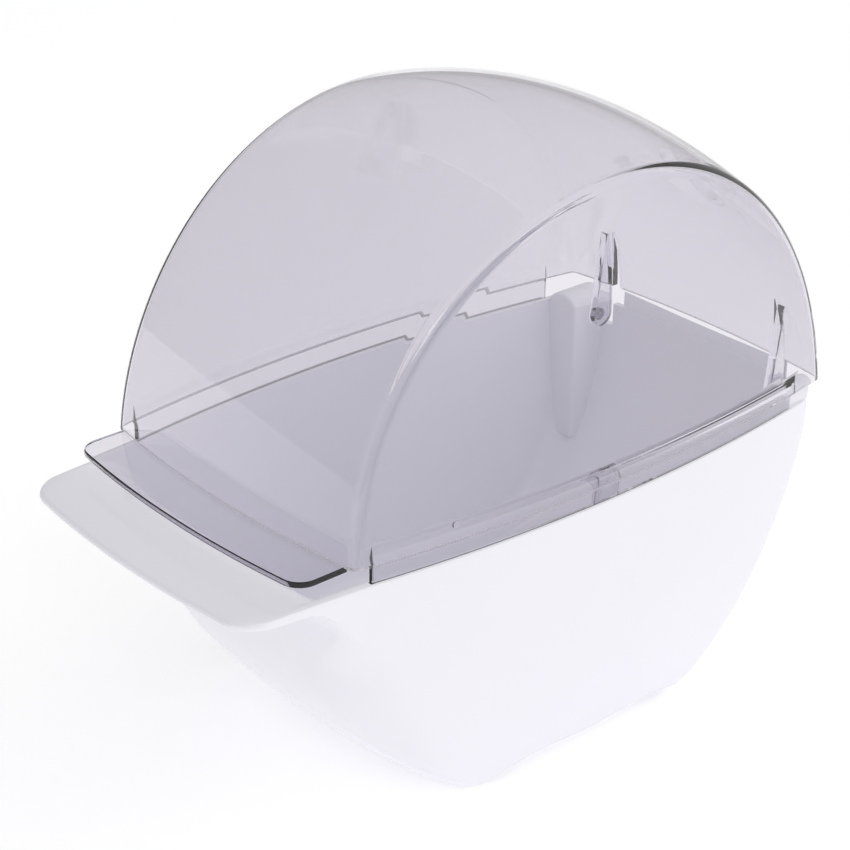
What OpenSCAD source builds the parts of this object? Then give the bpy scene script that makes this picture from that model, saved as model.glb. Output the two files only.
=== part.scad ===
// Counter-top dispenser box for a roll of perforated swabs.
// White tub with a tear-off lip, and a clear domed lid that swings on two moulded pins.
// Front is -Y, +Z is up, Z = 0 is the surface that it stands on.

/* [Body] */
// Length of the dome along Y, corner to corner at its bottom edge
body_len = 181.6; // [176:0.2:186]
// Width of the tub at the four corners of its rim
body_w = 104.2; // [100:0.2:110]
// How far each long side bows out between its corners
side_bulge = 7.8; // [5:0.2:9]
// How far the front, the back and the top bow out between the sides
crown = 4.2; // [3:0.2:6]
// How far the middle of the crest stands above its two ends
crest_crown = 9.5; // [7:0.5:10]
// Height of the tub's rim above the table
rim_z = 87; // [85:0.5:90]
// Clear band between the tub's rim and the dome's bottom edge
band_h = 6.5; // [6:0.5:8]
// Rise of the dome above its bottom edge, at the corners
dome_rise = 85.7; // [80:0.1:88]

/* [Tub] */
// Radius of the tub's round belly, at the corners
belly_r = 91.5; // [91:0.1:93]
// Height of the belly's centre line
belly_z = 83; // [80:0.1:84]
// Wall thickness of the tub
tub_t = 2.4; // [2:0.1:2.8]
// How much the tub's sides lean in, in degrees from vertical
tub_lean = 5.7; // [3:0.1:7]
// Reach of the lip beyond the front wall
lip_len = 31; // [26:0.5:34]
// Half width of the lip at its front corners
lip_half_w = 49.6; // [47:0.1:51]
// Radius under the lip, where the front wall turns into it
lip_bend_r = 16; // [12:0.5:18]
// Height of the tub's floor, upper face
floor_z = 9; // [8.5:0.5:12]
// Rise of the arch between the front and back feet
arch_rise = 5; // [3:0.5:5.5]
// How far the middle of the arch dips back down
arch_dip = 1; // [0:0.25:2]
// Half span of the arch
arch_half = 46; // [42:0.5:47]

/* [Lid] */
// Wall thickness of the lid
lid_t = 2.2; // [2:0.1:2.6]
// Overhang of the dome beyond the tub's sides
overhang = 1.8; // [1.4:0.1:2]
// How much the dome's sides lean in, in degrees from vertical
lid_lean = 5.4; // [3:0.1:6]
// Reach of the finger flange in front of the dome
flange_len = 14.5; // [10:0.5:18]
// Thickness of the finger flange
flange_t = 1.8; // [1.6:0.1:2]
// Half width of the finger flange
flange_half_w = 50; // [46:0.5:51]
// Thickness of the band under the dome's side walls
band_t = 2; // [1.6:0.1:2]
// Width of each relief slot in the lid's back wall
slot_w = 3; // [2:0.25:3]
// Height of each relief slot
slot_h = 20; // [14:1:24]

/* [Hinge] */
// Distance of the hinge line behind the body's middle
hinge_y = 87.5; // [87:0.1:88]
// Height of the hinge line
hinge_z = 84; // [83.5:0.1:84.5]
// Diameter of the hinge pins
pin_d = 4; // [3.4:0.2:4.4]
// Radial clearance between a pin and its bore
pin_clear = 0.08; // [0.05:0.01:0.1]
// Inner face of the hinge posts, from the middle
post_x = 39.4; // [38.5:0.1:40.5]

/* [Feet] */
// Diameter of the soft foot pads
pad_d = 9; // [7:0.5:10]
// How far the pads stand below the tub's feet
pad_proud = 0.5; // [0.3:0.1:0.8]

/* [Hidden] */
$fn = 96;
eps = 0.01;
far = 400;
// Raised part of the back wall: half its width, and the radius about the hinge it keeps inside
rise_half_w = 31.8;
rise_r = 9.8;

tub_colour = [0.93, 0.93, 0.95];
lid_colour = [0.72, 0.71, 0.78, 0.45];
pad_colour = [0.62, 0.62, 0.64];

half_len = body_len / 2;
half_w = body_w / 2;
edge_z = rim_z + band_h;
// Radius of the arc that bows each long side, and of the arc that bows front, back and top
bow_r = (half_len * half_len + side_bulge * side_bulge) / (2 * side_bulge);
crown_r = ((half_w + overhang) * (half_w + overhang) + crown * crown) / (2 * crown);
// Dome: a circle through both bottom corners and the crest
dome_r = (half_len * half_len + dome_rise * dome_rise) / (2 * dome_rise);
dome_z = edge_z + dome_rise - dome_r;
dome_mid_r = dome_r + crown;
// Crest: a second drum with more crown and a higher axis, which swells the middle of the top
crest_z = dome_z + 5.85;
crest_mid_r = edge_z + dome_rise + crest_crown - crest_z;
crest_drop = crest_crown + 0.3;
crest_arc_r = ((half_w + overhang) * (half_w + overhang) + crest_drop * crest_drop) / (2 * crest_drop);
belly_mid_r = belly_r + crown;
// Centre of the bend under the lip, as distance in front of the belly and as height
bend_z = rim_z - tub_t - lip_bend_r;
bend_rise = belly_z - bend_z;
bend_d = sqrt(pow(belly_mid_r + lip_bend_r - 0.12, 2) - bend_rise * bend_rise) - belly_mid_r;
// The body's middle lies behind the origin, because the lip reaches forward
mid_y = lip_len / 2;
lip_corner_r = 8;
lip_root_w = half_w - 0.8;
lip_taper = atan((lip_root_w - lip_half_w) / lip_len);
lip_corner_x = lip_root_w - (lip_len - lip_corner_r) * tan(lip_taper);
throat_half_w = lip_root_w - tub_t - 1.5;
flange_corner_r = 5;
pin_r = pin_d / 2;
pin_len = 4;
hub_r = 4;
arm_t = 2.9;
arm_x = post_x - 0.5 - arm_t;
notch_x = arm_x - 0.5;
notch_z = hinge_z - hub_r - 0.8;
post_front_y = 77.8;
post_bottom_z = 40;
post_top_z = 91;
slot_x = arm_x - 0.2 - slot_w;
band_gap = 0.3;
band_front_y = -84.5;
band_back_y = 77.2;
tab_len = 9;
tab_y = -8;
tab_t = 1.8;
pad_x = 36;
pad_y = 37;
pad_seat_z = 2.2;
boss_d = pad_d + 4;

// The long sides: two large arcs, each leaning by an angle about the height z0
module side_limit(half, lean, z0) {
    intersection() {
        bowed_side(half, lean, z0);
        mirror([1, 0, 0]) bowed_side(half, lean, z0);
    }
}

module bowed_side(half, lean, z0) {
    translate([half + side_bulge, 0, z0])
        rotate([0, lean, 0])
            translate([-bow_r, 0, -far / 2])
                cylinder(r = bow_r, h = far, $fn = 360);
}

// A crowned drum about the X axis: its outline is an arc of radius arc_r between the sides
module crowned_drum(mid_r, inset, z, arc_r = crown_r) {
    translate([0, 0, z])
        rotate([0, 90, 0])
            rotate_extrude($fn = 360)
                intersection() {
                    translate([mid_r - arc_r, 0]) circle(r = arc_r - inset, $fn = 720);
                    translate([0, -far / 4]) square([mid_r, far / 2]);
                }
}

// Plan outline between the bowed front and the bowed back
module crowned_plan(mid_r, inset) {
    intersection() {
        translate([0, crown_r - mid_r]) circle(r = crown_r - inset, $fn = 720);
        translate([0, mid_r - crown_r]) circle(r = crown_r - inset, $fn = 720);
    }
}

module slab(z0, z1) {
    translate([-far / 2, -far / 2, z0]) cube([far, far, z1 - z0]);
}

// The tub's body without its lip: round below the belly's centre line, upright above it
module tub_body(inset, z0, z1) {
    intersection() {
        union() {
            intersection() {
                crowned_drum(belly_mid_r, inset, belly_z);
                slab(z0, belly_z);
            }
            translate([0, 0, belly_z])
                linear_extrude(height = z1 - belly_z) crowned_plan(belly_mid_r, inset);
        }
        side_limit(half_w - inset, tub_lean, rim_z);
    }
}

// A profile of distance in front of the belly against height, swept along the bowed front
module front_sweep() {
    translate([0, crown_r - belly_mid_r, 0])
        rotate([0, 0, -102])
            rotate_extrude(angle = 24, $fn = 720)
                translate([crown_r, 0]) children();
}

module lip_side() {
    translate([lip_root_w, -belly_r, rim_z])
        rotate([0, tub_lean, 0])
            rotate([0, 0, -lip_taper])
                translate([-far, -far / 2, -far / 2]) cube([far, far, far]);
}

// The room outside a rounded corner of the lip or flange, where the side stands at side_x
module corner_cut(side_x, reach, r) {
    x = side_x - r + 0.1;
    y = crown_r - belly_mid_r - sqrt(pow(crown_r + reach - r, 2) - x * x) - 0.1;
    translate([x, y, rim_z - 10])
        linear_extrude(height = 20)
            difference() {
                translate([0, -3 * r]) square(3 * r);
                circle(r = r);
            }
}

module lip_and_bend() {
    difference() {
        intersection() {
            front_sweep()
                union() {
                    difference() {
                        translate([-tub_t, bend_z]) square([bend_d + tub_t, rim_z - bend_z]);
                        translate([bend_d, bend_z]) circle(r = lip_bend_r, $fn = 180);
                    }
                    translate([bend_d - eps, rim_z - tub_t]) square([lip_len - bend_d, tub_t]);
                }
            lip_side();
            mirror([1, 0, 0]) lip_side();
        }
        both_sides() corner_cut(lip_corner_x, lip_len, lip_corner_r);
    }
}

// The room over the bend, which leads the strip from the tub out onto the lip
module throat() {
    intersection() {
        front_sweep()
            difference() {
                translate([-tub_t - 1.2, bend_z])
                    square([bend_d + tub_t + 1.2, rim_z + 4 - bend_z]);
                translate([bend_d, bend_z]) circle(r = lip_bend_r + tub_t + 0.6, $fn = 180);
            }
        translate([-throat_half_w, -far / 2, 0]) cube([2 * throat_half_w, far / 2, far / 2]);
    }
}

// Height of the wavy bottom edge, with u from -1 at the front foot to 1 at the back foot
function wave(u) = arch_rise * (1 - pow(u, 4))
    - (abs(u) < 0.5 ? arch_dip * pow(cos(180 * u), 2) : 0);

module arch_cut() {
    steps = 24;
    rotate([90, 0, 90])
        translate([0, 0, -far / 2])
            linear_extrude(height = far)
                polygon(concat([[arch_half, -1], [-arch_half, -1]],
                    [for (i = [0:steps]) let (u = 2 * i / steps - 1) [arch_half * u, wave(u)]]));
}

// The hollow under the floor, inside the skirt that carries the feet
module under_floor() {
    intersection() {
        crowned_drum(belly_mid_r, tub_t, belly_z);
        slab(-1, floor_z - tub_t);
        side_limit(half_w - tub_t, tub_lean, rim_z);
    }
}

// A corner post's room: square below the rim, and a soft arch that stands above it
module post_block() {
    r = 7;
    intersection() {
        translate([post_x, post_front_y, post_bottom_z]) cube([far / 4, far / 4, far / 4]);
        union() {
            slab(0, rim_z - 0.2);
            translate([post_x + 6.3, post_front_y - 1, post_top_z - r])
                rotate([-90, 0, 0]) cylinder(r = r, h = 30);
        }
    }
}

module both_sides() {
    children();
    mirror([1, 0, 0]) children();
}

module pad_places() {
    for (sx = [-1, 1], sy = [-1, 1]) translate([sx * pad_x, sy * pad_y, 0]) children();
}

module hinge_post() {
    difference() {
        intersection() {
            post_block();
            tub_body(0.6, 0, rim_z + 6);
        }
        translate([post_x - 1, hinge_y, hinge_z])
            rotate([0, 90, 0]) cylinder(r = pin_r + pin_clear, h = pin_len + 2);
    }
}

// The back wall stands higher between the lid's arms, rounded so that the lid's edge swings past it
module back_rise() {
    intersection() {
        difference() {
            tub_body(0.3, rim_z - 1, rim_z + 7);
            tub_body(tub_t - 0.7, rim_z - 2, rim_z + 8);
        }
        translate([-rise_half_w, half_len / 2, 0]) cube([2 * rise_half_w, half_len, far]);
        translate([-rise_half_w - 1, hinge_y, hinge_z])
            rotate([0, 90, 0]) cylinder(r = rise_r, h = 2 * rise_half_w + 2);
    }
}

module base_tub() {
    color(tub_colour)
        translate([0, mid_y, 0])
            difference() {
                union() {
                    difference() {
                        union() {
                            tub_body(0, pad_proud, rim_z);
                            lip_and_bend();
                        }
                        tub_body(tub_t, floor_z, rim_z + 5);
                        under_floor();
                        throat();
                        translate([0, 0, pad_proud]) arch_cut();
                    }
                    both_sides() hinge_post();
                    back_rise();
                    pad_places() translate([0, 0, pad_seat_z])
                        cylinder(d = boss_d, h = floor_z - tub_t + 1 - pad_seat_z);
                }
                both_sides() translate([notch_x, hinge_y - hub_r - 0.5, notch_z])
                    cube([post_x - notch_x, far / 8, far / 8]);
            }
}

module lid_body(inset, z0) {
    intersection() {
        union() {
            crowned_drum(dome_mid_r, inset, dome_z);
            intersection() {
                crowned_drum(crest_mid_r, inset, crest_z, crest_arc_r);
                slab(edge_z + 0.5, edge_z + far / 2);
            }
        }
        slab(z0, edge_z + far / 2);
        side_limit(half_w + overhang - inset, -lid_lean, edge_z);
    }
}

module finger_flange() {
    difference() {
        intersection() {
            front_sweep()
                translate([-lid_t - 0.5, edge_z - flange_t + 0.6])
                    square([flange_len + lid_t + 0.5, flange_t]);
            translate([-flange_half_w, -far / 2, 0]) cube([2 * flange_half_w, far / 2, far / 2]);
        }
        both_sides() corner_cut(flange_half_w, flange_len, flange_corner_r);
    }
}

// The band under one side wall, which rests on the tub's rim
module side_band() {
    intersection() {
        translate([half_w + side_bulge - bow_r, 0, rim_z + band_gap])
            difference() {
                cylinder(r = bow_r, h = band_h - band_gap + 1.5, $fn = 360);
                translate([0, 0, -1]) cylinder(r = bow_r - band_t, h = band_h + 4, $fn = 360);
            }
        translate([0, band_front_y, 0]) cube([far / 2, band_back_y - band_front_y, far / 2]);
    }
}

// A tab that drops inside the rim half way along, and keeps the lid in line
module locating_tab() {
    x = half_w + side_bulge - tub_t - 0.9;
    translate([x - tab_t, tab_y, rim_z - 5]) cube([tab_t, tab_len, band_h + 6.5]);
    translate([x - tab_t, tab_y, rim_z + 1]) cube([tab_t + 1.4, tab_len, band_h + 0.5]);
}

module hinge_arm() {
    back_y = hinge_y + hub_r;
    top_y = dome_mid_r - 8.2;
    intersection() {
        translate([arm_x, 0, 0])
            rotate([90, 0, 90])
                linear_extrude(height = arm_t)
                    union() {
                        translate([hinge_y, hinge_z]) circle(r = hub_r);
                        polygon([[hinge_y - hub_r, hinge_z], [back_y, hinge_z],
                            [back_y + 2, edge_z + slot_h], [top_y, edge_z + slot_h]]);
                    }
        union() {
            lid_body(lid_t / 2, edge_z);
            intersection() {
                slab(0, edge_z + 0.2);
                translate([0, 0, 0]) cube([far, back_y, far]);
            }
        }
    }
    translate([arm_x + arm_t - 0.2, hinge_y, hinge_z])
        rotate([0, 90, 0]) {
            cylinder(r = pin_r, h = pin_len - 0.6);
            translate([0, 0, pin_len - 0.6]) cylinder(r1 = pin_r, r2 = pin_r - 0.8, h = 0.8);
        }
}

module relief_slot() {
    tip = 5;
    translate([slot_x, far / 2, 0])
        rotate([90, 0, 0])
            linear_extrude(height = far / 2 - 60)
                polygon([[0, edge_z - 1], [slot_w, edge_z - 1], [slot_w, edge_z + slot_h - tip],
                    [slot_w / 2, edge_z + slot_h], [0, edge_z + slot_h - tip]]);
}

module clear_lid() {
    color(lid_colour)
        translate([0, mid_y, 0])
            difference() {
                union() {
                    difference() {
                        lid_body(0, edge_z);
                        lid_body(lid_t, edge_z - 1);
                    }
                    finger_flange();
                    both_sides() {
                        side_band();
                        hinge_arm();
                    }
                    locating_tab();
                }
                both_sides() relief_slot();
            }
}

module foot_pad(sx, sy) {
    color(pad_colour)
        translate([sx * pad_x, mid_y + sy * pad_y, 0]) {
            cylinder(d1 = pad_d - 1, d2 = pad_d, h = 0.8);
            translate([0, 0, 0.8]) cylinder(d = pad_d, h = pad_seat_z - 0.8);
        }
}

base_tub();
clear_lid();
foot_pad(-1, -1);  // foot_pad_front_left
foot_pad(1, -1);  // foot_pad_front_right
foot_pad(-1, 1);  // foot_pad_back_left
foot_pad(1, 1);  // foot_pad_back_right
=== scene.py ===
import math

import bpy
from mathutils import Matrix, Vector


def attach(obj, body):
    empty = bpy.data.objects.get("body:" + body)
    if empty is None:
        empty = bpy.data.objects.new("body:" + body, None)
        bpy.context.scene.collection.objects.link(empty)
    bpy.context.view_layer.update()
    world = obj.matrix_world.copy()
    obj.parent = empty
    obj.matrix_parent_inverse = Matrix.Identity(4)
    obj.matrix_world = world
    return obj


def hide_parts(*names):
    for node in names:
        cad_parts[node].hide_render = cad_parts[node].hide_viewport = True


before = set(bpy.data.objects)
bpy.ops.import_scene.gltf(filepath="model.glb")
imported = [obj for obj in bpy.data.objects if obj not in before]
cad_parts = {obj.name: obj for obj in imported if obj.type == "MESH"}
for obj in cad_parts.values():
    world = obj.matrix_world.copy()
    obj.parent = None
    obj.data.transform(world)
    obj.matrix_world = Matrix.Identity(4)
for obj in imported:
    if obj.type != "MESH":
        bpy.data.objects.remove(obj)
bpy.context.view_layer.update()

MM = 0.001

# ---- sizes in millimetres, as in the part; y is counted from the body's middle ----
MID_Y = 15.5
HALF_LEN = 90.8
HALF_W = 52.1
BULGE = 7.8
CROWN = 4.2
RIM_Z = 87.0
EDGE_Z = 93.5
BOW_R = (HALF_LEN ** 2 + BULGE ** 2) / (2 * BULGE)
CREST_CROWN = 9.5
CROWN_HALF = 53.9
DOME_RISE = 85.7
DOME_R = (HALF_LEN ** 2 + DOME_RISE ** 2) / (2 * DOME_RISE)
DOME_Z = EDGE_Z + DOME_RISE - DOME_R
BELLY_MID_R = 91.5 + CROWN
BELLY_Z = 83.0
TUB_T = 2.4
TUB_LEAN = math.tan(math.radians(5.7))
LID_LEAN = math.tan(math.radians(5.4))
LID_T = 2.2
LIP_LEN = 31.0
LIP_HALF_W = 49.6
BEND_R = 16.0
BEND_Z = RIM_Z - TUB_T - BEND_R
BEND_D = math.sqrt((BELLY_MID_R + BEND_R) ** 2 - (BELLY_Z - BEND_Z) ** 2) - BELLY_MID_R
FLOOR_Z = 9.0
FLANGE_LEN = 14.5
FLANGE_HALF_W = 50.0
HINGE_Y = 87.5
HINGE_Z = 84.0
POST_X = 39.4
ARM_X = 36.0
ARM_T = 2.9
SLOT_X = 32.8


# ---- small tools ----
def deselect_all():
    if bpy.context.object and bpy.context.object.mode != "OBJECT":
        bpy.ops.object.mode_set(mode="OBJECT")
    bpy.ops.object.select_all(action="DESELECT")


def pick(piece):
    deselect_all()
    piece.select_set(True)
    bpy.context.view_layer.objects.active = piece


def named(name):
    piece = bpy.context.object
    piece.name = name
    piece.data.name = name
    return piece


def settle(piece):
    """Puts a piece's place, turn and scale into its mesh."""
    pick(piece)
    bpy.ops.object.transform_apply(location=True, rotation=True, scale=True)


def lofted(name, rows, closed_rows=False):
    """A sheet of quads shaped station by station: a grid is laid down, then each row of it is
    moved to its station. Rows that run round close on themselves, open ends are filled."""
    count, width = len(rows), len(rows[0])
    deselect_all()
    bpy.ops.mesh.primitive_grid_add(x_subdivisions=width - 1, y_subdivisions=count - 1, size=1)
    piece = named(name)
    flat = []
    for row in rows:
        for x, y, z in row:
            flat += (x * MM, (y + MID_Y) * MM, z * MM)
    piece.data.vertices.foreach_set("co", flat)
    piece.data.update()
    bpy.ops.object.mode_set(mode="EDIT")
    bpy.ops.mesh.select_all(action="SELECT")
    bpy.ops.mesh.remove_doubles(threshold=2e-6)
    bpy.ops.mesh.select_all(action="SELECT")
    bpy.ops.mesh.dissolve_degenerate(threshold=1e-6)
    bpy.ops.mesh.select_all(action="SELECT")
    bpy.ops.mesh.fill_holes(sides=0)
    bpy.ops.mesh.select_all(action="SELECT")
    bpy.ops.mesh.normals_make_consistent(inside=False)
    bpy.ops.object.mode_set(mode="OBJECT")
    settle(piece)
    return piece


def block(name, low, high, bevel=0.0, segments=3):
    """A box between two corners, with its edges rounded."""
    deselect_all()
    middle = [(a + b) / 2 for a, b in zip(low, high)]
    bpy.ops.mesh.primitive_cube_add(size=1, location=[c * MM for c in middle])
    piece = named(name)
    piece.scale = [(b - a) * MM for a, b in zip(low, high)]
    piece.location.y += MID_Y * MM
    settle(piece)
    if bevel:
        bpy.ops.object.mode_set(mode="EDIT")
        bpy.ops.mesh.select_all(action="SELECT")
        bpy.ops.mesh.bevel(offset=bevel * MM, segments=segments, affect="EDGES")
        bpy.ops.object.mode_set(mode="OBJECT")
    return piece


def rod(name, radius, start, end, axis, sides=48, bevel=0.0):
    """A cylinder along X, Y or Z between two points on that axis."""
    deselect_all()
    middle = [(a + b) / 2 for a, b in zip(start, end)]
    length = math.dist(start, end)
    turn = {"X": (0, math.pi / 2, 0), "Y": (math.pi / 2, 0, 0), "Z": (0, 0, 0)}[axis]
    bpy.ops.mesh.primitive_cylinder_add(
        vertices=sides, radius=radius * MM, depth=length * MM,
        location=(middle[0] * MM, (middle[1] + MID_Y) * MM, middle[2] * MM), rotation=turn)
    piece = named(name)
    settle(piece)
    if bevel:
        bevelled(piece, bevel, 3, 40)
    return piece


def modified(piece, kind, **settings):
    pick(piece)
    modifier = piece.modifiers.new(kind.title(), kind)
    for key, value in settings.items():
        setattr(modifier, key, value)
    bpy.ops.object.modifier_apply(modifier=modifier.name)


def bevelled(piece, width, segments=3, angle=30):
    modified(piece, "BEVEL", width=width * MM, segments=segments, limit_method="ANGLE",
             angle_limit=math.radians(angle), harden_normals=False)


def joined(piece, other, how):
    """Unites, cuts or intersects piece with other, which is used up."""
    modified(piece, "BOOLEAN", object=other, operation=how, solver="EXACT")
    deselect_all()
    bpy.data.objects.remove(other, do_unlink=True)


def smooth(piece, angle):
    pick(piece)
    bpy.ops.object.shade_smooth_by_angle(angle=math.radians(angle))


def steps(first, last, count):
    return [first + (last - first) * i / (count - 1) for i in range(count)]


def eased(value, low, high):
    t = min(1.0, max(0.0, (value - low) / (high - low)))
    return t * t * (3 - 2 * t)


# ---- the body's curves ----
def bow(y):
    """How far a long side stands out at y, against its corners."""
    return BULGE - (BOW_R - math.sqrt(BOW_R ** 2 - y * y))


SPLIT_Y = -86.0
LIP_SLOPE = (HALF_W + bow(SPLIT_Y) - LIP_HALF_W) / (LIP_LEN + 91.5 + SPLIT_Y)


def tub_side(y, z, inset):
    half = HALF_W - (RIM_Z - z) * TUB_LEAN - inset
    if y < SPLIT_Y:
        return half + bow(SPLIT_Y) + LIP_SLOPE * (y - SPLIT_Y)
    return half + bow(y)


def belly_reach(x, z, inset):
    """Distance of the front or back wall from the body's middle."""
    rho = BELLY_MID_R - CROWN * (x / CROWN_HALF) ** 2 - inset
    if z >= BELLY_Z:
        return rho
    return math.sqrt(rho * rho - (BELLY_Z - z) ** 2)


def rounded_turn(start, corner, end, count):
    """Points of a soft corner between two tangent points, without its two ends."""
    k = 0.5523
    a = [s + (c - s) * k for s, c in zip(start, corner)]
    b = [e + (c - e) * k for e, c in zip(end, corner)]
    points = []
    for i in range(1, count + 1):
        t = i / (count + 1)
        w = ((1 - t) ** 3, 3 * t * (1 - t) ** 2, 3 * t * t * (1 - t), t ** 3)
        points.append([w[0] * s + w[1] * p + w[2] * q + w[3] * e
                       for s, p, q, e in zip(start, a, b, end)])
    return points


FRONT_STEPS, TURN_STEPS, LIP_SIDE_STEPS, SIDE_STEPS = 16, 9, 10, 46


def tub_ring(z, inset, front_extra, front_turn, back_turn, low=None):
    """One level outline of the tub, from the middle of its front round to the same point.
    front_extra is how far the lip or the bend stands in front of the belly. low(y) lifts
    the bottom edge."""
    def front(x):
        return -belly_reach(x, z, inset) - front_extra

    def back(x):
        return belly_reach(x, z, inset)

    x_f = x_b = HALF_W - inset
    for _ in range(30):
        y_f = front(x_f)
        x_f = tub_side(y_f, z, inset)
        y_b = back(x_b)
        x_b = tub_side(y_b, z, inset)
    half = [(x, front(x)) for x in steps(0, x_f - front_turn, FRONT_STEPS)]
    side_start = y_f + front_turn
    half += rounded_turn(half[-1], (x_f, y_f), (tub_side(side_start, z, inset), side_start), TURN_STEPS)
    split = max(side_start + 3.0, min(-76.8, 0) if z > 60 else y_f + 15)
    side_end = y_b - back_turn
    ys = steps(side_start, split, LIP_SIDE_STEPS)[:-1] + steps(split, side_end, SIDE_STEPS)
    half += [(tub_side(y, z, inset), y) for y in ys]
    back_start = (x_b - back_turn, back(x_b - back_turn))
    half += rounded_turn(half[-1], (x_b, y_b), back_start, TURN_STEPS)
    half += [(x, back(x)) for x in steps(x_b - back_turn, 0, FRONT_STEPS)]
    ring = [(x, y, z) for x, y in half] + [(-x, y, z) for x, y in reversed(half[1:-1])]
    if low:
        lifted = []
        for x, y, level in ring:
            new_z = low(y, level)
            scale = (abs(x) + (new_z - level) * TUB_LEAN) / abs(x) if abs(x) > 20 else 1
            lifted.append((x * scale, y, new_z))
        ring = lifted
    return ring + [ring[0]]


def wave(y):
    """Height of the wavy bottom edge of the long sides."""
    u = (y - 1.0) / 45.5
    if abs(u) >= 1:
        return 0.0
    dip = math.cos(math.pi * u) ** 2 if abs(u) < 0.5 else 0.0
    return 5.4 * (1 - abs(u) ** 3) - dip


FOOT_Z = 0.5
WAVE_FADE = 16.0


def lifted(y, level):
    lowest = FOOT_Z + wave(y)
    if level >= WAVE_FADE:
        return level
    return lowest + (level - FOOT_Z) * (WAVE_FADE - lowest) / (WAVE_FADE - FOOT_Z)


def front_turn_at(z):
    """The front corners are soft low down and close up to a crease under the lip."""
    soft = 3.0 + 12.0 * eased(z, 3, 34)
    return soft + (0.9 - soft) * eased(z, 52, 80)


def back_turn_at(z):
    return 3.5 + 2.5 * eased(z, 5, 50) + 2.0 * eased(z, 76, 86)


def bend_extra(z, radius):
    """How far the concave bend under the lip stands in front of the belly at height z."""
    if z <= BEND_Z:
        return 0.0
    room = radius ** 2 - min(z - BEND_Z, radius) ** 2
    return max(0.0, BEND_D - math.sqrt(max(0.0, room)))


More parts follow.
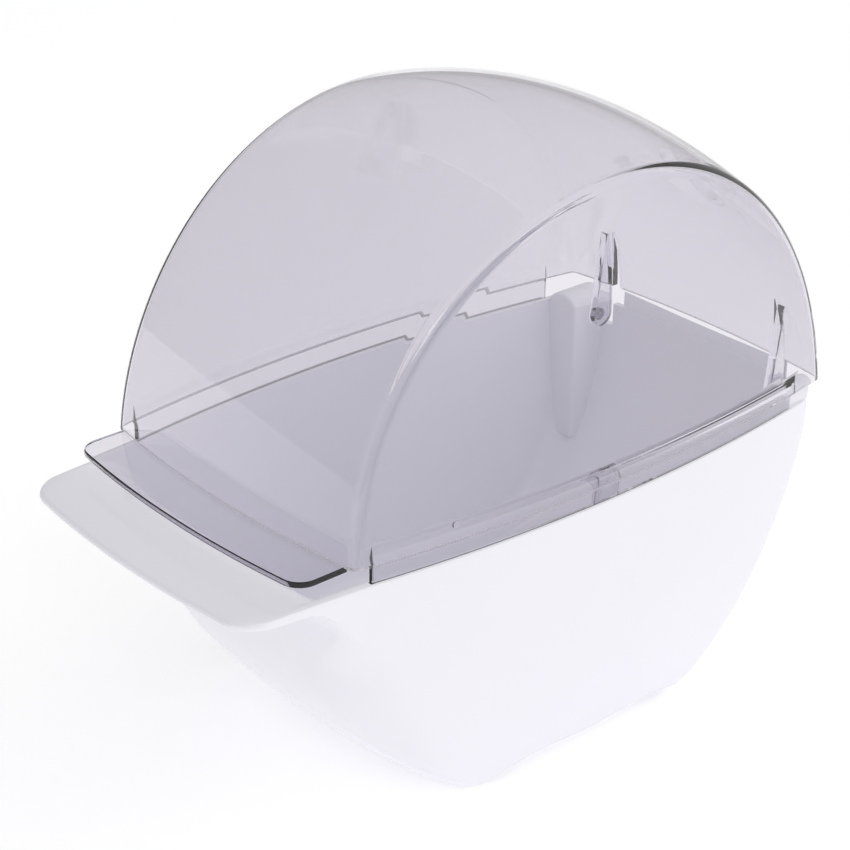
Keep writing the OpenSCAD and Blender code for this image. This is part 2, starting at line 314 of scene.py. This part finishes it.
def make_tub():
    rows = []
    # hollow under the floor, from its ceiling down to the bottom edge
    for z, inset in ((FLOOR_Z - TUB_T, TUB_T + 0.6), (FLOOR_Z - TUB_T - 0.5, TUB_T)):
        rows.append(tub_ring(z, inset, 0, 4, 4))
    for z, inset in ((FOOT_Z + 0.3, TUB_T), (FOOT_Z, TUB_T - 0.4), (FOOT_Z, 0.5), (FOOT_Z + 0.15, 0.15),
                     (FOOT_Z + 0.5, 0)):
        rows.append(tub_ring(z, inset, 0, 3, 3.5, lifted))
    # outer wall, up to the bend
    for z in steps(FOOT_Z + 1.2, WAVE_FADE, 10):
        rows.append(tub_ring(z, 0, 0, front_turn_at(z), back_turn_at(z), lifted))
    tangent_z = BEND_Z + (BELLY_Z - BEND_Z) * BEND_R / (BELLY_MID_R + BEND_R)
    for z in steps(WAVE_FADE, tangent_z, 32)[1:]:
        rows.append(tub_ring(z, 0, 0, front_turn_at(z), back_turn_at(z)))
    # the bend under the lip
    start = math.asin((tangent_z - BEND_Z) / BEND_R)
    bend_top = BEND_Z + BEND_R - 0.4
    for a in steps(start, math.asin((bend_top - BEND_Z) / BEND_R), 18)[1:]:
        z = BEND_Z + BEND_R * math.sin(a)
        reach = BELLY_MID_R + BEND_D - BEND_R * math.cos(a)
        rows.append(tub_ring(z, 0, reach - belly_reach(0, z, 0), front_turn_at(z), back_turn_at(z)))
    # the lip's underside, its rounded edge and its top
    first = BEND_D - BEND_R * math.cos(math.asin((bend_top - BEND_Z) / BEND_R))
    for t in steps(0, 1, 7)[1:]:
        rows.append(tub_ring(bend_top + 0.4 * t, 0, first + (LIP_LEN - 1.2 - first) * t, 1 + 6 * t, 8.5))
    middle_z = RIM_Z - TUB_T / 2
    for a in (-60, -30, 0, 30, 60):
        out = math.cos(math.radians(a))
        z = middle_z + TUB_T / 2 * math.sin(math.radians(a))
        rows.append(tub_ring(z, 0.35 * (1 - out) if a > 0 else 0, LIP_LEN - 1.2 + 1.2 * out, 8, 8.5))
    rows.append(tub_ring(RIM_Z, 0.5, LIP_LEN - 1.0, 7.6, 8.2))
    # over the rim, and down the inside over the soft ridge in front
    inner_r = BEND_R + TUB_T
    rows.append(tub_ring(RIM_Z, TUB_T - 0.4, BEND_D + 3.0, 2.0, 6.8))
    for a in steps(math.radians(84), math.asin((tangent_z - BEND_Z) / inner_r), 16):
        z = BEND_Z + inner_r * math.sin(a)
        reach = BELLY_MID_R + BEND_D - inner_r * math.cos(a)
        turn = 2.0 + 5.0 * (1 - eased(z, 66, 84))
        rows.append(tub_ring(z, TUB_T, reach - belly_reach(0, z, TUB_T), turn, 6.5))
    fillet = 6.0
    for z in steps(tangent_z - 2, FLOOR_Z + fillet, 26):
        rows.append(tub_ring(z, TUB_T, 0, 7.5, 6.5))
    for a in steps(0, 90, 8)[1:]:
        c, s = math.cos(math.radians(a)), math.sin(math.radians(a))
        rows.append(tub_ring(FLOOR_Z + fillet * (1 - s), TUB_T + fillet * (1 - c), 0, 7.5, 6.5))
    tub = lofted("tub", rows)

    # corner posts with an arched top, and the bores for the lid's pins
    core = lofted("core", [tub_ring(z, 0.6, 0, 1 + front_turn_at(z), back_turn_at(min(z, 80)) - 0.6)
                           for z in steps(38, 92, 20)])
    for side in (-1, 1):
        arch = [(POST_X + 6.3 + 7 * math.sin(math.radians(a)), 84 + 7 * math.cos(math.radians(a)))
                for a in steps(-61, 61, 17)]
        outline = [(POST_X, 40)] + arch + [(POST_X + 14.5, 84), (POST_X + 14.5, 40)]
        rows = [[(side * x, y, z) for x, z in outline + outline[:1]] for y in (77.8, 84, 95)]
        post = lofted("post", rows)
        bevelled(post, 0.9, 3, 40)
        inner = core.copy()
        inner.data = core.data.copy()
        bpy.context.scene.collection.objects.link(inner)
        joined(post, inner, "INTERSECT")
        joined(tub, post, "UNION")
        low_x, high_x = sorted((side * (POST_X - 1), side * (POST_X + 4)))
        joined(tub, rod("bore", 2.08, (low_x, HINGE_Y, HINGE_Z), (high_x, HINGE_Y, HINGE_Z), "X"), "DIFFERENCE")
        low_x, high_x = sorted((side * (ARM_X - 0.5), side * POST_X))
        joined(tub, block("notch", (low_x, 83.0, 79.2), (high_x, 110, 110), 0.6), "DIFFERENCE")
    bpy.data.objects.remove(core, do_unlink=True)
    # the raised part of the back wall, rounded about the hinge
    rows = []
    for x in steps(-31.8, 31.8, 33):
        outer = belly_reach(x, RIM_Z, 0.3)
        inner = belly_reach(x, RIM_Z, 1.7)
        over = [(y, HINGE_Z + math.sqrt(9.8 ** 2 - (y - HINGE_Y) ** 2)) for y in steps(outer, inner, 8)]
        profile = [(outer, RIM_Z - 1)] + over + [(inner, RIM_Z - 1)]
        rows.append([(x, y, z) for y, z in profile + profile[:1]])
    rise = lofted("rise", rows)
    bevelled(rise, 0.3, 2, 40)
    joined(tub, rise, "UNION")
    # round bosses over the pads
    for sx in (-1, 1):
        for sy in (-1, 1):
            boss = rod("boss", 6.5, (36 * sx, 37 * sy, 2.2), (36 * sx, 37 * sy, 7.2), "Z", 40, 0.5)
            joined(tub, boss, "UNION")
    smooth(tub, 32)
    return tub


# ---- the lid ----
def lid_side(y, z, inset):
    return CROWN_HALF - inset + bow(y) - (z - EDGE_Z) * LID_LEAN


def dome_section(angle, inset, turn):
    """The lid's outline on a half plane through the line at the foot of the dome, from the
    middle of the right wall's bottom edge over the sheet to the left wall's."""
    c, s = math.cos(angle), math.sin(angle)
    drop = EDGE_Z - DOME_Z
    crown = CROWN + (CREST_CROWN - CROWN) * s ** 1.5

    def reach(x):
        rho = DOME_R + crown - crown * (x / CROWN_HALF) ** 2 - inset
        return -drop * s + math.sqrt(rho * rho - (drop * c) ** 2)

    def wall(r):
        return lid_side(-r * c, EDGE_Z + r * s, inset)

    x = CROWN_HALF
    for _ in range(30):
        r = reach(x)
        x = wall(r)
    top = (x - turn, reach(x - turn))
    half = [(wall(t), t) for t in steps(0, r - turn, 26)]
    half += rounded_turn(half[-1], (x, r), top, 9)
    half += [(v, reach(v)) for v in steps(x - turn, 0, 20)]
    line = half + [(-v, t) for v, t in reversed(half[:-1])]
    return [(v, -t * c, EDGE_Z + t * s) for v, t in line]


def make_lid():
    angles = steps(0, math.pi, 121)
    rows = [dome_section(a, 0, 3.2) for a in angles]
    rows += [dome_section(a, LID_T, 1.2) for a in reversed(angles)]
    lid = lofted("lid", rows + rows[:1])

    for side in (-1, 1):
        # band that stands on the tub's rim
        rows = []
        for y in [-84.5, -84.3, -83.7] + steps(-82.7, 75.4, 58) + [76.4, 77.0, 77.2]:
            out = HALF_W + bow(y)
            end = min(y + 84.5, 77.2 - y)
            thin = 0.93 * (1 - math.sqrt(max(0.0, 1 - (1 - min(1.0, end / 1.8)) ** 2)))
            profile = ((out - 2.0 + thin, 87.7), (out - 1.6, 87.3), (out - 0.4, 87.3), (out - thin, 87.7),
                       (out - thin, 92.6), (out + 0.2, 93.3), (out + 0.9, 93.8), (out + 0.4, 95.2),
                       (out - 0.8, 99.5), (out - 1.3, 97.2), (out - 1.8, 94.8), (out - 2.0 + thin, 92.8))
            rows.append([(side * x, y, z) for x, z in profile + profile[:1]])
        joined(lid, lofted("band", rows), "UNION")
        # hinge arm, with its hub and its pin
        hub = [(HINGE_Y + 4 * math.cos(math.radians(a)), HINGE_Z + 4 * math.sin(math.radians(a)))
               for a in steps(0, -180, 21)]
        outline = hub + [(87.3, EDGE_Z + 19.0), (88.6, EDGE_Z + 19.0), (92.6, EDGE_Z + 2.0), (91.2, EDGE_Z + 0.4)]
        rows = [[(side * x, y, z) for y, z in outline + outline[:1]] for x in (ARM_X, ARM_X + ARM_T)]
        arm = lofted("arm", rows)
        bevelled(arm, 0.35, 2, 40)
        joined(lid, arm, "UNION")
        ends = sorted((side * (ARM_X + ARM_T - 0.3), side * (ARM_X + ARM_T + 3.8)))
        joined(lid, rod("pin", 2.0, (ends[0], HINGE_Y, HINGE_Z), (ends[1], HINGE_Y, HINGE_Z), "X", 40, 0.4), "UNION")
        # tapered relief slot beside the arm
        tip = EDGE_Z + 20.0
        outline = [(SLOT_X, 92), (SLOT_X + 3.0, 92), (SLOT_X + 2.6, tip - 7), (SLOT_X + 1.7, tip),
                   (SLOT_X + 1.3, tip), (SLOT_X + 0.4, tip - 7)]
        rows = [[(side * x, y, z) for x, z in outline + outline[:1]] for y in (80, 100)]
        joined(lid, lofted("slot", rows), "DIFFERENCE")

    # locating tab inside the rim, on the right
    x_mid = HALF_W + BULGE - TUB_T - 0.9
    joined(lid, block("tab", (x_mid - 1.8, -8, 82.4), (x_mid + 0.3, 1, 94.0), 0.4, 2), "UNION")
    # a small round gate mark on the right wall
    x_wall = lid_side(-60, 98.5, 0)
    joined(lid, rod("gate", 1.1, (x_wall - 0.5, -60, 98.5), (x_wall + 0.25, -60, 98.5), "X", 24, 0.1), "UNION")
    # finger flange in front of the dome
    rows = []
    corner = 5.0
    for x in [-FLANGE_HALF_W + corner * (1 - math.sin(math.radians(a))) for a in steps(90, 0, 9)] + \
            steps(-FLANGE_HALF_W + corner, FLANGE_HALF_W - corner, 41)[1:-1] + \
            [FLANGE_HALF_W - corner + corner * math.sin(math.radians(a)) for a in steps(0, 90, 9)]:
        rho = BELLY_MID_R - CROWN * (x / CROWN_HALF) ** 2
        past = max(0.0, abs(x) - (FLANGE_HALF_W - corner))
        tip = -(rho + FLANGE_LEN) + corner - math.sqrt(max(0.0, corner ** 2 - past ** 2))
        root = -(DOME_R + CROWN - CROWN * (x / CROWN_HALF) ** 2) + 1.2
        z_top, z_low = 93.85, 92.05
        profile = ((root, z_low), (tip + 0.5, z_low), (tip + 0.15, z_low + 0.2), (tip, (z_low + z_top) / 2),
                   (tip + 0.15, z_top - 0.2), (tip + 0.5, z_top), (root, z_top))
        rows.append([(x, y, z) for y, z in profile + profile[:1]])
    joined(lid, lofted("flange", rows), "UNION")
    smooth(lid, 28)
    return lid


def make_pad(name, sx, sy):
    pad = rod(name, 4.5, (36 * sx, 37 * sy, 0), (36 * sx, 37 * sy, 2.2), "Z", 48)
    pick(pad)
    bpy.ops.object.mode_set(mode="EDIT")
    bpy.ops.mesh.select_all(action="SELECT")
    bpy.ops.mesh.bevel(offset=0.35 * MM, segments=3, affect="EDGES")
    bpy.ops.object.mode_set(mode="OBJECT")
    smooth(pad, 50)
    return pad


# ---- finishes ----
def new_material(name):
    material = bpy.data.materials.new(name)
    material.use_nodes = True
    return material, material.node_tree, material.node_tree.nodes["Principled BSDF"]


def noise(tree, scale, detail, roughness=0.5):
    coords = tree.nodes.new("ShaderNodeTexCoord")
    node = tree.nodes.new("ShaderNodeTexNoise")
    node.inputs["Scale"].default_value = scale
    node.inputs["Detail"].default_value = detail
    node.inputs["Roughness"].default_value = roughness
    tree.links.new(coords.outputs["Object"], node.inputs["Vector"])
    return node.outputs["Fac"]


def spread(tree, value, low, high):
    node = tree.nodes.new("ShaderNodeMapRange")
    node.inputs["From Min"].default_value = 0.3
    node.inputs["From Max"].default_value = 0.7
    node.inputs["To Min"].default_value = low
    node.inputs["To Max"].default_value = high
    tree.links.new(value, node.inputs["Value"])
    return node.outputs["Result"]


def mixed(tree, value, first, second):
    node = tree.nodes.new("ShaderNodeMix")
    node.data_type = "RGBA"
    node.inputs["A"].default_value = (*first, 1)
    node.inputs["B"].default_value = (*second, 1)
    tree.links.new(value, node.inputs["Factor"])
    return node.outputs["Result"]


def bumped(tree, shader, value, strength, distance):
    node = tree.nodes.new("ShaderNodeBump")
    node.inputs["Strength"].default_value = strength
    node.inputs["Distance"].default_value = distance
    tree.links.new(value, node.inputs["Height"])
    tree.links.new(node.outputs["Normal"], shader.inputs["Normal"])


def white_moulding():
    material, tree, shader = new_material("tub_white_moulding")
    clouds = noise(tree, 14, 3)
    tree.links.new(mixed(tree, spread(tree, clouds, 0, 1), (0.885, 0.875, 0.935), (0.9, 0.89, 0.95)),
                   shader.inputs["Base Color"])
    tree.links.new(spread(tree, noise(tree, 60, 4), 0.2, 0.27), shader.inputs["Roughness"])
    shader.inputs["IOR"].default_value = 1.5
    shader.inputs["Subsurface Weight"].default_value = 0.0
    bumped(tree, shader, noise(tree, 900, 2), 0.03, 0.0001)
    return material


def smoke_clear():
    material, tree, shader = new_material("lid_smoke_clear")
    tree.links.new(mixed(tree, spread(tree, noise(tree, 8, 2), 0, 1), (0.823, 0.81, 0.85), (0.84, 0.828, 0.865)),
                   shader.inputs["Base Color"])
    shader.inputs["Roughness"].default_value = 0.0
    shader.inputs["IOR"].default_value = 1.5
    shader.inputs["Transmission Weight"].default_value = 1.0
    absorb = tree.nodes.new("ShaderNodeVolumeAbsorption")
    absorb.inputs["Color"].default_value = (0.62, 0.5, 0.74, 1)
    absorb.inputs["Density"].default_value = 17.0
    output = tree.nodes["Material Output"]
    tree.links.new(absorb.outputs["Volume"], output.inputs["Volume"])
    return material


def soft_grey():
    material, tree, shader = new_material("pad_soft_grey")
    tree.links.new(mixed(tree, spread(tree, noise(tree, 300, 3), 0, 1), (0.3, 0.3, 0.31), (0.36, 0.36, 0.37)),
                   shader.inputs["Base Color"])
    tree.links.new(spread(tree, noise(tree, 700, 2), 0.6, 0.75), shader.inputs["Roughness"])
    bumped(tree, shader, noise(tree, 1500, 2), 0.15, 0.0001)
    return material


def dressed(piece, material):
    piece.data.materials.clear()
    piece.data.materials.append(material)


tub = make_tub()
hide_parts("base_tub")
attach(tub, "tub")
dressed(tub, white_moulding())

lid = make_lid()
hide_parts("clear_lid")
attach(lid, "lid")
dressed(lid, smoke_clear())
lid.visible_shadow = False
lid.visible_diffuse = False

grey = soft_grey()
for name, sx, sy in (("front_left", -1, -1), ("front_right", 1, -1), ("back_left", -1, 1), ("back_right", 1, 1)):
    pad = make_pad("pad_" + name, sx, sy)
    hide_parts("foot_pad_" + name)
    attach(pad, "tub")
    dressed(pad, grey)


# ---- floor, light and camera ----
def make_floor():
    deselect_all()
    bpy.ops.mesh.primitive_grid_add(x_subdivisions=8, y_subdivisions=8, size=6, location=(0, 0, 0))
    floor = named("pale_floor")
    settle(floor)
    material, tree, shader = new_material("floor_pale")
    tree.links.new(mixed(tree, noise(tree, 3, 2), (0.93, 0.93, 0.935), (0.95, 0.95, 0.955)), shader.inputs["Base Color"])
    shader.inputs["Roughness"].default_value = 0.9
    shader.inputs["Specular IOR Level"].default_value = 0.1
    shader.inputs["Emission Color"].default_value = (1, 1, 1, 1)
    shader.inputs["Emission Strength"].default_value = 0.3
    dressed(floor, material)


def make_light(name, place, target, size, power):
    light = bpy.data.lights.new(name, "AREA")
    light.shape = "SQUARE"
    light.size = size
    light.energy = power
    lamp = bpy.data.objects.new(name, light)
    bpy.context.scene.collection.objects.link(lamp)
    lamp.location = place
    lamp.rotation_euler = (Vector(target) - Vector(place)).to_track_quat("-Z", "Y").to_euler()


def make_camera():
    azimuth, elevation, roll = math.radians(48.815), math.radians(26.956), math.radians(0.754)
    aim = Vector((-0.00641, 0.0005, 0.08787))
    back = Vector((math.cos(elevation) * math.sin(azimuth), -math.cos(elevation) * math.cos(azimuth),
                   math.sin(elevation)))
    right = Vector((math.cos(azimuth), math.sin(azimuth), 0))
    up = back.cross(right)
    right, up = (right * math.cos(roll) + up * math.sin(roll), up * math.cos(roll) - right * math.sin(roll))
    data = bpy.data.cameras.new("camera")
    data.lens = 97.557
    data.sensor_width = 36.0
    camera = bpy.data.objects.new("camera", data)
    bpy.context.scene.collection.objects.link(camera)
    place = aim + back * 0.67544
    turn = Matrix((right, up, back)).transposed().to_4x4()
    camera.matrix_world = Matrix.Translation(place) @ turn
    bpy.context.scene.camera = camera


def make_world():
    """A soft surround that is brighter towards the back on the right."""
    world = bpy.data.worlds.new("studio")
    world.use_nodes = True
    tree = world.node_tree
    coords = tree.nodes.new("ShaderNodeTexCoord")
    dot = tree.nodes.new("ShaderNodeVectorMath")
    dot.operation = "DOT_PRODUCT"
    dot.inputs[1].default_value = (0.66, 0.62, 0.42)
    tree.links.new(coords.outputs["Generated"], dot.inputs[0])
    ramp = tree.nodes.new("ShaderNodeMapRange")
    ramp.interpolation_type = "SMOOTHSTEP"
    ramp.inputs["From Min"].default_value = -0.2
    ramp.inputs["From Max"].default_value = 1.0
    ramp.inputs["To Min"].default_value = 0.54
    ramp.inputs["To Max"].default_value = 0.95
    tree.links.new(dot.outputs["Value"], ramp.inputs["Value"])
    background = tree.nodes["Background"]
    background.inputs["Color"].default_value = (1, 1, 1, 1)
    tree.links.new(ramp.outputs["Result"], background.inputs["Strength"])
    bpy.context.scene.world = world


make_floor()
make_world()
make_light("key", (0.7, 1.0, 0.9), (0, 0, 0.08), 1.2, 1.0)
make_light("edge", (1.0, -0.58, 0.86), (0, 0, 0.1), 0.3, 0.8)
make_camera()
view = bpy.context.scene.view_settings
view.view_transform = "Standard"
